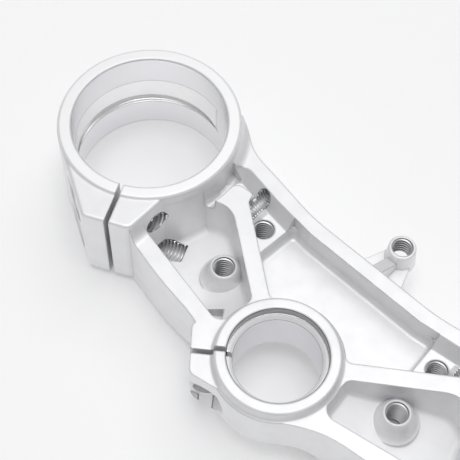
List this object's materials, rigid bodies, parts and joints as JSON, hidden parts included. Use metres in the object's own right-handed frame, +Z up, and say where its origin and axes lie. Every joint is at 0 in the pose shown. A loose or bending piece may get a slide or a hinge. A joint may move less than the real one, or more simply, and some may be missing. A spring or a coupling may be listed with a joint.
{
  "type": "motorcycle triple clamp",
  "caption": "Milled motorcycle fork clamp: split rings for the fork tubes and a split stem bore, joined by a bridge with open pockets and diagonal ribs.",
  "frame": {"origin": "axis of the stem bore, at the lower end of the bore's wall", "axes": "+X from the left fork ring to the right one, +Y to the front rail with the small lug, +Z up the bores to the side with the open pockets"},
  "size_m": [0.245, 0.091, 0.0371],
  "materials": {
    "clamp_body": "fine bead-blasted, clear anodised, satin"
  },
  "bodies": {
    "root": {"clamp_body": "clamp_body"}
  },
  "joints": []
}
